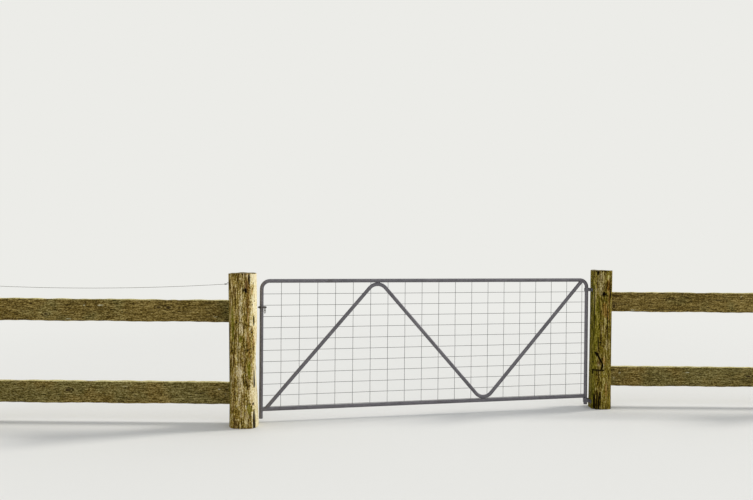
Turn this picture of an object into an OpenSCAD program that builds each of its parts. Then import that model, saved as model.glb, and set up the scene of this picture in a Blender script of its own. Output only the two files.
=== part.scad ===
// Tubular field gate hung between two timber posts, with one bay of two-board fence on each side.
// The gate leaf is a bent steel tube frame with a bent N brace and welded wire mesh on its back.
// Millimetres. +X runs along the fences to the right, +Y away from the lane, +Z up.
// The origin is the middle of the hinge post's foot, at ground level.

/* [Gate leaf] */
// Width of the leaf over its two upright tubes
leaf_w = 3173; // [2500:1:3600]
// Height of the leaf over its top and bottom rails
leaf_h = 1170; // [1050:1:1300]
// Clear height under the bottom rail
leaf_clear = 93; // [85:1:140]
// Length of each upright below the bottom rail
foot_len = 63; // [55:1:80]
// Angle between the closed leaf and the fences
gate_skew = 12.27; // [0:0.01:15]

/* [Frame tube] */
// Outside diameter of the frame and brace tube
tube_d = 33.7; // [30:0.1:38]
// Wall of the tube
tube_wall = 2.6; // [2:0.1:4]
// Bend radius of the two top corners, on the centre line of the tube
corner_r = 72; // [50:1:78]
// Gap left at a welded joint
weld_gap = 0.2; // [0.1:0.05:0.3]

/* [Brace] */
// From the latch upright to the brace's upper bend
brace_up_x = 1047; // [950:1:1150]
// From the latch upright to the brace's lower bend
brace_low_x = 2083; // [1950:1:2200]
// Bend radius of the brace, on the centre line of the tube
brace_r = 100; // [80:1:130]
// From the latch upright to where the brace meets the bottom rail
brace_end_x = 38; // [30:1:60]
// From the hinge upright to where the brace meets the top rail
brace_top_x = 44; // [34:1:60]

/* [Wire mesh] */
// Diameter of the mesh wire
wire_d = 4; // [3:0.1:5]
// Spacing of the upright wires
mesh_pitch_x = 162.65; // [120:0.05:220]
// Spacing of the level wires
mesh_pitch_z = 100; // [75:1:150]
// From the latch upright to the first upright wire
mesh_edge_x = 12.4; // [8:0.1:14]
// From each rail to the nearest level wire
mesh_edge_z = 16.6; // [12:0.1:24]
// How far the wires run past the last crossing
mesh_tail = 5; // [3:0.5:8]

/* [Hinges] */
// Height of the upper hinge strap's middle
hinge_top_z = 1152; // [1150:1:1154]
// Height of the lower hinge strap's middle
hinge_low_z = 66; // [62:1:68]
// Height of the strap steel
strap_h = 30; // [24:1:32]
// Thickness of the strap steel
strap_t = 5; // [4:0.5:6]
// Running gap between strap and upright
strap_play = 0.6; // [0.4:0.1:1]
// Length of each strap foot on the post
strap_foot = 30; // [28:1:36]
// Gap between the upright and the hinge post
hinge_gap = 25.5; // [22:0.5:40]
// Height of the collar that carries the leaf on the lower strap
collar_h = 8; // [5:0.5:9]
// Shank diameter of the coach screws
screw_d = 9; // [6:0.5:11]
// Length of a coach screw in the post
screw_len = 70; // [40:1:90]
// Running clearance of the collar over the strap
run_gap = 0.3; // [0.2:0.05:0.5]

/* [Latch] */
// Height of the chain on the latch upright
chain_z = 1013; // [960:1:1018]
// Gap between the upright and the top of the latch post
latch_gap = 11; // [9:1:50]
// How far the latch post stands in front of the upright
latch_set = 126; // [100:1:140]
// Diameter of the chain wire
link_wire = 5; // [4.5:0.1:5.5]
// Links in the chain's long end, which reaches the hook
tail_links = 6; // [4:1:8]
// Links in the chain's short end
end_links = 2; // [1:1:4]
// Height of the hook on the latch post that takes the chain
keeper_z = 1110; // [1100:1:1180]
// Diameter of the hook
keeper_d = 10; // [8:0.5:12]

/* [Posts] */
// Width of the hinge post
hinge_post_w = 188; // [180:1:220]
// Height of the hinge post above the ground
hinge_post_h = 1340; // [1280:1:1500]
// Width of the latch post
latch_post_w = 234; // [215:1:250]
// Height of the latch post above the ground
latch_post_h = 1318; // [1280:1:1500]
// How far the latch post leans away from the gate at its top
latch_lean = 24; // [0:1:30]
// Width of the two fence posts
fence_post_w = 205; // [180:1:230]
// Height of the fence posts above the ground
fence_post_h = 1290; // [1250:1:1400]
// How square the posts are, where 2 is round
post_square = 3; // [2.6:0.1:4]

/* [Fence boards] */
// Post spacing of the fence
bay = 2440; // [1800:1:3000]
// Height of a board's face
board_h = 197; // [150:1:225]
// Thickness of a board
board_t = 48; // [38:1:50]
// Middle of the upper board on the latch side
latch_upper_z = 978; // [900:1:1050]
// Middle of the lower board on the latch side
latch_lower_z = 255; // [200:1:350]
// Middle of the upper board on the hinge side
hinge_upper_z = 1027; // [900:1:1100]
// Middle of the lower board on the hinge side
hinge_lower_z = 290; // [200:1:350]
// Depth of the flat cut in a post for a board
housing = 12; // [6:1:20]
// Play between a board and its flat
board_play = 0.3; // [0.1:0.1:0.5]

/* [Strand wire] */
// Diameter of the plain wire over the boards
strand_d = 3.2; // [2.5:0.1:4]
// Height of the wire at the latch post
strand_z = 1225; // [1150:1:1240]
// Height of the wire at the fence post
strand_end_z = 1196; // [1150:1:1240]
// Sag of the wire at the middle of the bay
strand_sag = 31; // [10:1:60]

/* [Hidden] */
$fn = 48;

tube_r = tube_d / 2;
leaf_span = leaf_w - tube_d;
bottom_z = leaf_clear + tube_r;
top_z = bottom_z + leaf_h - tube_d;
foot_z = leaf_clear - foot_len;
far = 4000;
ground_cut = 40;

// The hinge upright's axis, the latch upright's axis and the middle of the latch post's foot
hinge_face = hinge_post_w / 2;
hinge_x = -(hinge_face + hinge_gap + tube_r);
latch_upright = [hinge_x - leaf_span * cos(gate_skew), -leaf_span * sin(gate_skew)];
latch_at = latch_upright + [latch_lean - tube_r - latch_gap - latch_post_w / 2, -latch_set];

galvanised = [0.56, 0.57, 0.6];
dull_zinc = [0.45, 0.46, 0.49];
old_timber = [0.5, 0.42, 0.3];
board_timber = [0.42, 0.35, 0.27];

module at_hinge() {
    translate([hinge_x, 0, 0]) children();
}

module at_leaf() {
    at_hinge() rotate([0, 0, gate_skew]) children();
}

// A straight rod between two points
module rod(a, b, d) {
    v = b - a;
    translate(a) rotate([0, acos(v[2] / norm(v)), atan2(v[1], v[0])]) cylinder(d = d, h = norm(v));
}

// A bend in the plane of the leaf, from angle a to angle b about the centre c
module bend(c, r, a, b, d) {
    translate([c[0], 0, c[1]]) rotate([90, 0, 0]) rotate([0, 0, a])
        rotate_extrude(angle = b - a) translate([r, 0]) circle(d = d);
}

// Posts

post_sides = 40;
post_rings = 8;

// Width, height, seed of the lobes, lean to the top, and share hewn off the right-hand side of each post
hinge_post_form = [hinge_post_w * 1.03, hinge_post_h, 40, 6, 0];
latch_post_form = [latch_post_w, latch_post_h, 110, -latch_lean, 0.15];
left_post_form = [fence_post_w, fence_post_h, 200, 8, 0];
right_post_form = [fence_post_w, fence_post_h, 310, -6, 0];

function lobed(a, seed) = pow(pow(abs(cos(a)), post_square) + pow(abs(sin(a)), post_square), -1 / post_square)
    * (0.985 + 0.012 * cos(3 * a + seed) + 0.008 * cos(5 * a + 2 * seed) + 0.007 * cos(11 * a + 3 * seed));

function swell(a, t, waist) = 1 + 0.05 * pow(1 - t, 6)
    - waist * pow((1 + cos(a)) / 2, 2) * exp(-pow((t - 0.41) / 0.16, 2));

function hewn_r(form, a, t) = form[0] / 2 * lobed(a, form[2]) * swell(a, t, form[4]);

// Where the side of a post at angle 0 or 180 is, at height z
function post_side(form, a, z) = let (
    t = (z + ground_cut) / (form[1] + ground_cut), k = floor(t * post_rings), f = t * post_rings - k
) form[3] * t + cos(a) * ((1 - f) * hewn_r(form, a, k / post_rings) + f * hewn_r(form, a, (k + 1) / post_rings));

module hewn_post(form) {
    w = form[0];
    h = form[1];
    seed = form[2];
    lean = form[3];
    ring = [for (k = [0 : post_rings]) let (t = k / post_rings, z = -ground_cut + t * (h + ground_cut))
        for (i = [0 : post_sides - 1]) let (a = i * 360 / post_sides, r = hewn_r(form, a, t))
            [r * cos(a) + lean * t, r * sin(a), z + (k == post_rings ? 3 * cos(2 * a + seed) : 0)]];
    ends = [[0, 0, -ground_cut], [lean, 0, h]];
    n = len(ring);
    sides = [for (k = [0 : post_rings - 1]) for (i = [0 : post_sides - 1])
        let (j = (i + 1) % post_sides, lo = k * post_sides, hi = lo + post_sides)
            each [[lo + i, hi + i, lo + j], [lo + j, hi + i, hi + j]]];
    low = [for (i = [0 : post_sides - 1]) [n, i, (i + 1) % post_sides]];
    top_row = post_rings * post_sides;
    high = [for (i = [0 : post_sides - 1]) [n + 1, top_row + (i + 1) % post_sides, top_row + i]];
    difference() {
        polyhedron(points = concat(ring, ends), faces = concat(sides, low, high));
        translate([-w, -w, -2 * ground_cut]) cube([2 * w, 2 * w, 2 * ground_cut]);
    }
}

// The flat that a board lies in, at the back of a post
module board_flat(w, z) {
    translate([-w, w / 2 - housing, z - board_h / 2 - board_play])
        cube([2 * w, w, board_h + 2 * board_play]);
}

module hinge_post() {
    color(old_timber) difference() {
        hewn_post(hinge_post_form);
        translate([-hinge_face - hinge_post_w, -hinge_post_w, -1]) cube([hinge_post_w, 2 * hinge_post_w, hinge_post_h + 20]);
        translate([-hinge_face, 0, hinge_top_z]) screw_holes();
        translate([-hinge_face, 0, hinge_low_z]) screw_holes();
        board_flat(hinge_post_w, hinge_upper_z);
        board_flat(hinge_post_w, hinge_lower_z);
    }
}

module latch_post() {
    color(old_timber) translate([latch_at[0], latch_at[1], 0]) difference() {
        hewn_post(latch_post_form);
        board_flat(latch_post_w, latch_upper_z);
        board_flat(latch_post_w, latch_lower_z);
        translate([keeper_x, latch_post_w / 2 - keeper_in - 1, keeper_z])
            rotate([-90, 0, 0]) cylinder(d = keeper_d + 2 * board_play, h = 2 * keeper_in);
    }
}

left_end_x = latch_at[0] - bay;
right_end_x = bay;

module left_fence_post() {
    color(old_timber) translate([left_end_x, latch_at[1] + (latch_post_w - fence_post_w) / 2, 0]) difference() {
        hewn_post(left_post_form);
        board_flat(fence_post_w, latch_upper_z);
        board_flat(fence_post_w, latch_lower_z);
    }
}

module right_fence_post() {
    color(old_timber) translate([right_end_x, (hinge_post_w - fence_post_w) / 2, 0]) difference() {
        hewn_post(right_post_form);
        board_flat(fence_post_w, hinge_upper_z);
        board_flat(fence_post_w, hinge_lower_z);
    }
}

// Hook for the chain, driven into the back of the latch post above its board

keeper_x = 45;
keeper_in = 60;
keeper_out = 10;
keeper_r = 14;
keeper_up = 16;

module chain_keeper() {
    color(dull_zinc) translate([latch_at[0] + keeper_x, latch_at[1] + latch_post_w / 2 + keeper_out, keeper_z]) {
        translate([0, -keeper_in - keeper_out, 0]) rotate([-90, 0, 0]) cylinder(d = keeper_d, h = keeper_in + keeper_out);
        translate([0, 0, keeper_r]) rotate([0, 90, 0]) rotate_extrude(angle = 90) translate([keeper_r, 0]) circle(d = keeper_d);
        translate([0, keeper_r, keeper_r]) cylinder(d = keeper_d, h = keeper_up);
    }
}

// Boards

board_back = 45;

module board(x0, x1, seat_y, z) {
    color(board_timber) translate([x0, seat_y + board_play, z - board_h / 2]) cube([x1 - x0, board_t, board_h]);
}

latch_seat = latch_at[1] + latch_post_w / 2 - housing;
hinge_seat = hinge_post_w / 2 - housing;
left_x0 = left_end_x - fence_post_w / 2 + board_back / 2;
left_x1 = latch_at[0] + latch_post_w / 2 - board_back;
right_x0 = -hinge_post_w / 2 + board_back;
right_x1 = right_end_x + fence_post_w / 2 - board_back / 2;

module left_upper_board() { board(left_x0, left_x1, latch_seat, latch_upper_z); }
module left_lower_board() { board(left_x0, left_x1, latch_seat, latch_lower_z); }
module right_upper_board() { board(right_x0, right_x1, hinge_seat, hinge_upper_z); }
module right_lower_board() { board(right_x0, right_x1, hinge_seat, hinge_lower_z); }

// Strand wire over the latch side's boards, hanging in a shallow arc

strand_x0 = latch_at[0] + post_side(latch_post_form, 180, strand_z) - run_gap;
strand_x1 = left_end_x + post_side(left_post_form, 0, strand_end_z) + run_gap;
strand_len = norm([strand_x0 - strand_x1, strand_z - strand_end_z]);
strand_r = (strand_len * strand_len / 4 + strand_sag * strand_sag) / (2 * strand_sag);
strand_turn = 2 * asin(strand_len / 2 / strand_r);
strand_tilt = atan2(strand_z - strand_end_z, strand_x0 - strand_x1);

module strand_wire() {
    mid = [(strand_x0 + strand_x1) / 2, (strand_z + strand_end_z) / 2];
    rise = strand_r - strand_sag;
    color(dull_zinc) translate([mid[0] - rise * sin(strand_tilt), latch_at[1], mid[1] + rise * cos(strand_tilt)])
        rotate([90, 0, 0]) rotate([0, 0, strand_tilt - 90 - strand_turn / 2])
            rotate_extrude(angle = strand_turn, $fn = 1500) translate([strand_r, 0]) circle(d = strand_d, $fn = 16);
}

// Hinges

strap_in = tube_r + strap_play;
strap_out = strap_in + strap_t;
reach = hinge_gap + tube_r;
screw_y = strap_out + strap_foot - 14;

module screw_holes() {
    for (s = [-1, 1]) translate([-1, s * screw_y, 0]) rotate([0, 90, 0]) cylinder(d = screw_d + 0.4, h = screw_len + 2);
}

module strap(z) {
    color(galvanised) at_hinge() translate([0, 0, z - strap_h / 2]) difference() {
        union() {
            cylinder(r = strap_out, h = strap_h);
            translate([0, -strap_out, 0]) cube([reach - board_play, 2 * strap_out, strap_h]);
            translate([reach - board_play - strap_t, -strap_out - strap_foot, 0])
                cube([strap_t, 2 * (strap_out + strap_foot), strap_h]);
        }
        translate([0, 0, -1]) cylinder(r = strap_in, h = strap_h + 2);
        translate([0, -strap_in, -1]) cube([far, 2 * strap_in, strap_h + 2]);
        for (s = [-1, 1]) translate([0, s * screw_y, strap_h / 2]) rotate([0, 90, 0])
            cylinder(d = screw_d + 0.6, h = far);
    }
}

module upper_hinge_strap() { strap(hinge_top_z); }
module lower_hinge_strap() { strap(hinge_low_z); }

head_r = 9;
head_t = 5;

module coach_screws(z) {
    color(dull_zinc) at_hinge() for (s = [-1, 1])
        translate([reach - board_play - strap_t - run_gap, s * screw_y, z]) rotate([0, 90, 0]) {
            translate([0, 0, -head_t]) cylinder(r = head_r, h = head_t);
            cylinder(d = screw_d, h = screw_len);
        }
}

module upper_hinge_screws() { coach_screws(hinge_top_z); }
module lower_hinge_screws() { coach_screws(hinge_low_z); }

module hinge_collar() {
    color(galvanised) at_leaf() translate([0, 0, hinge_low_z + strap_h / 2 + run_gap]) difference() {
        cylinder(r = strap_out, h = collar_h);
        translate([0, 0, -1]) cylinder(r = tube_r + weld_gap, h = collar_h + 2);
    }
}

// Leaf frame

module hoop_solid(d) {
    rod([-leaf_span, 0, foot_z], [-leaf_span, 0, top_z - corner_r], d);
    rod([0, 0, foot_z], [0, 0, top_z - corner_r], d);
    rod([-leaf_span + corner_r, 0, top_z], [-corner_r, 0, top_z], d);
    bend([-leaf_span + corner_r, top_z - corner_r], corner_r, 90, 180, d);
    bend([-corner_r, top_z - corner_r], corner_r, 0, 90, d);
}

module frame_hoop() {
    color(galvanised) at_leaf() difference() {
        hoop_solid(tube_d);
        hoop_bore();
    }
}

module hoop_bore() {
    d = tube_d - 2 * tube_wall;
    hoop_solid(d);
    for (x = [-leaf_span, 0]) translate([x, 0, foot_z - 1]) cylinder(d = d, h = 2);
}

module bottom_rail() {
    color(galvanised) at_leaf() difference() {
        rod([-leaf_span, 0, bottom_z], [0, 0, bottom_z], tube_d);
        rod([-leaf_span - 1, 0, bottom_z], [1, 0, bottom_z], tube_d - 2 * tube_wall);
        for (x = [-leaf_span, 0]) translate([x, 0, foot_z]) cylinder(d = tube_d + 2 * weld_gap, h = 2 * foot_len);
    }
}

// Brace, laid out from the tangents of its two bends

up_c = [-leaf_span + brace_up_x, top_z - tube_d - weld_gap - brace_r];
low_c = [-leaf_span + brace_low_x, bottom_z + tube_d + weld_gap + brace_r];
brace_a = [-leaf_span + brace_end_x, bottom_z];
brace_b = [-brace_top_x, top_z];

function slope(p, q) = atan2(q[1] - p[1], q[0] - p[0]);
function dist(p, q) = norm(q - p);
function on_circle(c, a) = c + brace_r * [cos(a), sin(a)];

rise_a = slope(brace_a, up_c) + asin(brace_r / dist(brace_a, up_c));
fall = slope(up_c, low_c) - asin(2 * brace_r / dist(up_c, low_c));
rise_b = slope(low_c, brace_b) + asin(brace_r / dist(low_c, brace_b));

function up3(p) = [p[0], 0, p[1]];

// A straight limb enters each bend by a short tongue, and is thinner than the bend by less than a coat of zinc
tongue = 1;
tongue_step = 0.2;

module limb(p, q, p_into, q_into, d) {
    u = (q - p) / dist(p, q);
    rod(up3(p - p_into * u), up3(q + q_into * u), d - tongue_step);
}

module brace_solid(d) {
    limb(brace_a, on_circle(up_c, rise_a + 90), 0, tongue, d);
    bend(up_c, brace_r, fall + 90, rise_a + 90, d);
    limb(on_circle(up_c, fall + 90), on_circle(low_c, fall - 90), tongue, tongue, d);
    bend(low_c, brace_r, fall - 90, rise_b - 90, d);
    limb(on_circle(low_c, rise_b - 90), brace_b, tongue, 0, d);
}

// What the ends of the brace are shaped to: the upright and rail in each of its two corners
cope_d = tube_d + 2 * weld_gap;
cope_len = 4 * tube_d;
cope_past = 30;

// A round cut blunts the two thin horns that the cope leaves at the corner bend
trim_d = 24;

module cope_latch_corner() {
    rod([-leaf_span, 0, foot_z], [-leaf_span, 0, bottom_z + cope_len], cope_d);
    rod([-leaf_span, 0, bottom_z], [-leaf_span + cope_len, 0, bottom_z], cope_d);
}

module cope_hinge_corner() {
    bend([-corner_r, top_z - corner_r], corner_r, -cope_past, 90 + cope_past, cope_d);
    translate([brace_b[0], tube_d, brace_b[1]]) rotate([90, 0, 0]) cylinder(d = trim_d, h = 2 * tube_d);
}

module n_brace() {
    color(galvanised) at_leaf() difference() {
        brace_solid(tube_d);
        brace_solid(tube_d - 2 * tube_wall);
        cope_latch_corner();
        cope_hinge_corner();
    }
}

// Mesh

mesh_y = tube_r + run_gap + wire_d / 2;
mesh_layer = 0.8 * wire_d;
mesh_rows = round((top_z - bottom_z - 2 * mesh_edge_z) / mesh_pitch_z);
mesh_row_gap = (top_z - bottom_z - 2 * mesh_edge_z) / mesh_rows;
mesh_cols = floor((leaf_span - mesh_edge_x - tube_r) / mesh_pitch_x);

module wire_mesh() {
    color(dull_zinc) at_leaf() union() {
        for (k = [0 : mesh_rows])
            translate([-leaf_span - mesh_tail, mesh_y, bottom_z + mesh_edge_z + k * mesh_row_gap])
                rotate([0, 90, 0]) cylinder(d = wire_d, h = leaf_span + 2 * mesh_tail, $fn = 6);
        for (k = [0 : mesh_cols])
            translate([-leaf_span + mesh_edge_x + k * mesh_pitch_x, mesh_y + mesh_layer, bottom_z + mesh_edge_z - mesh_tail])
                cylinder(d = wire_d, h = top_z - bottom_z - 2 * mesh_edge_z + 2 * mesh_tail, $fn = 6);
    }
}

// Chain

link_in = 4.5 * link_wire;
link_half_w = 1.4 * link_wire;
link_half_l = (link_in + link_wire) / 2 - link_half_w;

// One link along X, lying in the XY plane
module link() {
    for (s = [-1, 1]) {
        translate([-link_half_l, s * link_half_w, 0]) rotate([0, 90, 0]) cylinder(d = link_wire, h = 2 * link_half_l, $fn = 24);
        translate([s * link_half_l, 0, 0]) rotate([0, 0, s * 90 - 90 - 90])
            rotate_extrude(angle = 180) translate([link_half_w, 0]) circle(d = link_wire, $fn = 24);
    }
}

// The loop goes round the upright and the first upright mesh wire, with the fewest pairs of links that fit
link_step = 3.856 * link_wire;
link_reach = link_half_w * cos(45) + link_wire / 2;
first_wire = [mesh_edge_x, mesh_y + mesh_layer];
loop_need = (norm(first_wire) + tube_r + wire_d / 2) / 2 + run_gap;
loop_links = 2 * ceil(90 / asin(link_step / 2 / (loop_need + link_reach)));
loop_r = link_step / 2 / sin(180 / loop_links);
loop_side = 25;
loop_mid = (loop_r - link_reach - tube_r - run_gap) * [cos(loop_side), sin(loop_side)];
tail_play = 0.1;
tail_pitch = link_in - 2 * tail_play;

module chain_loop() {
    color(dull_zinc) at_leaf() translate([loop_mid[0] - leaf_span, loop_mid[1], chain_z])
        for (k = [0 : loop_links - 1]) rotate([0, 0, k * 360 / loop_links])
            translate([0, loop_r, 0]) rotate([k % 2 == 0 ? -45 : 45, 0, 0]) link();
}

// Two ends hang from the outer sides of loop links, the long one behind the upright and the short one in front
hang = link_half_w * cos(45);
short_end_at = 6;

module hanging_end(at, links) {
    rotate([0, 0, at * 360 / loop_links])
        translate([0, loop_r + hang, link_wire + tail_play - hang - link_half_w - link_half_l])
            for (k = [0 : links - 1]) translate([0, 0, -k * tail_pitch])
                rotate([0, 0, k % 2 == 0 ? 90 : 0]) rotate([0, 90, 0]) rotate([90, 0, 0]) link();
}

module chain_tail() {
    color(dull_zinc) at_leaf() translate([loop_mid[0] - leaf_span, loop_mid[1], chain_z]) {
        hanging_end(0, tail_links);
        hanging_end(short_end_at, end_links);
    }
}

hinge_post();
latch_post();
left_fence_post();
right_fence_post();
left_upper_board();
left_lower_board();
right_upper_board();
right_lower_board();
strand_wire();
upper_hinge_strap();
lower_hinge_strap();
upper_hinge_screws();
lower_hinge_screws();
frame_hoop();
bottom_rail();
n_brace();
wire_mesh();
hinge_collar();
chain_loop();
chain_tail();
chain_keeper();
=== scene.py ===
import math

import bpy
import numpy as np
from mathutils import Matrix, Vector


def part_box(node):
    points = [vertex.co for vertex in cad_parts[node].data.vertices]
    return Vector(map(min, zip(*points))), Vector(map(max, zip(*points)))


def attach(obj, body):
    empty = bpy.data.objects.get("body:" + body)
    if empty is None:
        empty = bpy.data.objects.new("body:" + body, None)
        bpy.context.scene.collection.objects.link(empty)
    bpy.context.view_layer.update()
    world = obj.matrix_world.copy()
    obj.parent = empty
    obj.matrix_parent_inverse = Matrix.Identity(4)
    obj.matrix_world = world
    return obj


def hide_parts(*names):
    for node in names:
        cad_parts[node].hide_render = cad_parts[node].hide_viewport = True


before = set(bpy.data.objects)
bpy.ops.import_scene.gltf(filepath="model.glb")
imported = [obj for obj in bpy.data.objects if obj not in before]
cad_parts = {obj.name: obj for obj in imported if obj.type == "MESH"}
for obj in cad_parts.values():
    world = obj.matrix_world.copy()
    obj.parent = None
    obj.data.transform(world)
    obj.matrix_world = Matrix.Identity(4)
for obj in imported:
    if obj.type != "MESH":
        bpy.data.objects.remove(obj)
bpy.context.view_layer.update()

# Posts
# Four round logs, hewn to a soft square and sunk at the foot. The timber is weathered to grey and brown
# streaks, with drying splits, knots, rust below old nails, and algae on the shaded side.


class Number:
    """A value that varies over a surface, or a shape in a pattern. Arithmetic on it adds Math nodes."""

    def __init__(self, steps, socket):
        self.steps = steps
        self.socket = socket

    def math(self, operation, first, second=None):
        inputs = {0: first} if second is None else {0: first, 1: second}
        return self.steps.node("ShaderNodeMath", {"operation": operation}, inputs)

    def __add__(self, other):
        return self.math("ADD", self, other)

    def __mul__(self, other):
        return self.math("MULTIPLY", self, other)

    def __sub__(self, other):
        return self.math("SUBTRACT", self, other)

    def __rsub__(self, other):
        return self.math("SUBTRACT", other, self)

    def clip(self):
        return self.math("MINIMUM", self.math("MAXIMUM", self, 0.0), 1.0)

    def wave(self):
        return self.math("SINE", self)

    __radd__ = __add__
    __rmul__ = __mul__


class Steps:
    """A tree of nodes, for the finish of a surface or for a pattern of pieces."""

    def node(self, kind, settings=None, inputs=None, out=0):
        made = self.tree.nodes.new(kind)
        for key, value in (settings or {}).items():
            if key == "stops":
                ramp = made.color_ramp
                while len(ramp.elements) < len(value):
                    ramp.elements.new(0.5)
                for element, (position, colour) in zip(ramp.elements, value):
                    element.position = position
                    element.color = colour
            else:
                setattr(made, key, value)
        for key, value in (inputs or {}).items():
            several = value if isinstance(value, tuple) and isinstance(value[0], Number) else (value,)
            for one in several:
                if isinstance(one, Number):
                    self.tree.links.new(one.socket, made.inputs[key])
                else:
                    made.inputs[key].default_value = one
        return Number(self, made.outputs[out])


class Finish(Steps):
    """A material for one of the gate's surfaces, made of nodes."""

    def __init__(self, name, roughness, metallic=0.0, specular=0.5):
        self.material = bpy.data.materials.new(name)
        self.material.use_nodes = True
        self.tree = self.material.node_tree
        self.shader = self.tree.nodes["Principled BSDF"]
        for key, value in (("Roughness", roughness), ("Metallic", metallic), ("Specular IOR Level", specular)):
            self.shader.inputs[key].default_value = value
        self.place = self.node("ShaderNodeTexCoord", out="Object")

    def noise(self, scale, stretch=(1, 1, 1), detail=4.0, rough=0.55, warp=0.0):
        """Noise with about scale lumps to a metre, drawn out along each direction whose stretch is below 1."""
        drawn_out = self.node("ShaderNodeMapping", {}, {"Vector": self.place, "Scale": stretch})
        inputs = {"Vector": drawn_out, "Scale": scale, "Detail": detail, "Roughness": rough, "Distortion": warp}
        return self.node("ShaderNodeTexNoise", {}, inputs)

    def ramp(self, factor, *stops):
        return self.node("ShaderNodeValToRGB", {"stops": stops}, {"Fac": factor})

    def step(self, factor, low, high):
        """0 below low, 1 above high, smooth between."""
        settings = {"interpolation_type": "SMOOTHSTEP"}
        return self.node("ShaderNodeMapRange", settings, {"Value": factor, "From Min": low, "From Max": high})

    def mix(self, factor, a, b):
        return self.node("ShaderNodeMix", {"data_type": "RGBA"}, {0: factor, 6: a, 7: b}, out=2)

    def painted(self, name):
        """A value that the mesh carries at its points."""
        return self.node("ShaderNodeAttribute", {"attribute_name": name}, out="Fac")

    def wear(self, colour, roughness, bump, depth):
        """Gives the surface its colour, its roughness and a relief of some depth."""
        normal = self.node("ShaderNodeBump", {}, {"Height": bump, "Distance": depth, "Strength": 1.0}, out="Normal")
        for key, value in (("Base Color", colour), ("Roughness", roughness), ("Normal", normal)):
            self.tree.links.new(value.socket, self.shader.inputs[key])
        return self.material


def paint(r, g, b):
    """A colour as it looks, 0 to 255, in the linear numbers that a shader takes."""
    linear = [(c / 255 / 12.92) if c < 11 else ((c / 255 + 0.055) / 1.055) ** 2.4 for c in (r, g, b)]
    return (*linear, 1.0)


def solid(name, points, faces, material, **values):
    """A mesh object from points and faces, with its per-point values."""
    mesh = bpy.data.meshes.new(name)
    mesh.from_pydata([tuple(p) for p in points], [], [tuple(f) for f in faces])
    for key, value in values.items():
        mesh.attributes.new(key, "FLOAT", "POINT").data.foreach_set("value", np.asarray(value, np.float32))
    mesh.materials.append(material)
    mesh.shade_smooth()
    piece = bpy.data.objects.new(name, mesh)
    bpy.context.scene.collection.objects.link(piece)
    return piece


def tube_faces(rows, columns):
    """Quads of a tube of points laid out row by row, ring after ring."""
    r, c = np.meshgrid(np.arange(rows - 1), np.arange(columns), indexing="ij")
    n = (c + 1) % columns
    quads = np.stack([r * columns + c, r * columns + n, (r + 1) * columns + n, (r + 1) * columns + c], -1)
    return quads.reshape(-1, 4).tolist()


# Shades over a surface's tone, which is 0 in its deepest streaks and 1 in its palest
DEEPEST_GRAIN = paint(36, 25, 4)
WARM_SHADES = (0.1, paint(50, 32, 10)), (0.45, paint(138, 108, 58)), (0.85, paint(236, 212, 168))
SILVER_SHADES = (0.15, paint(74, 62, 34)), (0.5, paint(150, 132, 94)), (0.85, paint(220, 204, 166))
RUST_SHADES = (0.1, paint(74, 42, 4)), (0.43, paint(134, 97, 28)), (0.8, paint(194, 152, 88))
KNOT_SHADES = (0.2, paint(44, 28, 14)), (0.8, paint(112, 78, 44))
DAMP_DARK, DAMP_PALE = paint(38, 36, 8), paint(176, 160, 70)
RING_DARK, RING_PALE = paint(84, 74, 48), paint(150, 138, 100)
# Splits and checks are painted near-black: painted shade inside the cracks
SPLIT_SHADE = paint(22, 13, 4)


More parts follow.
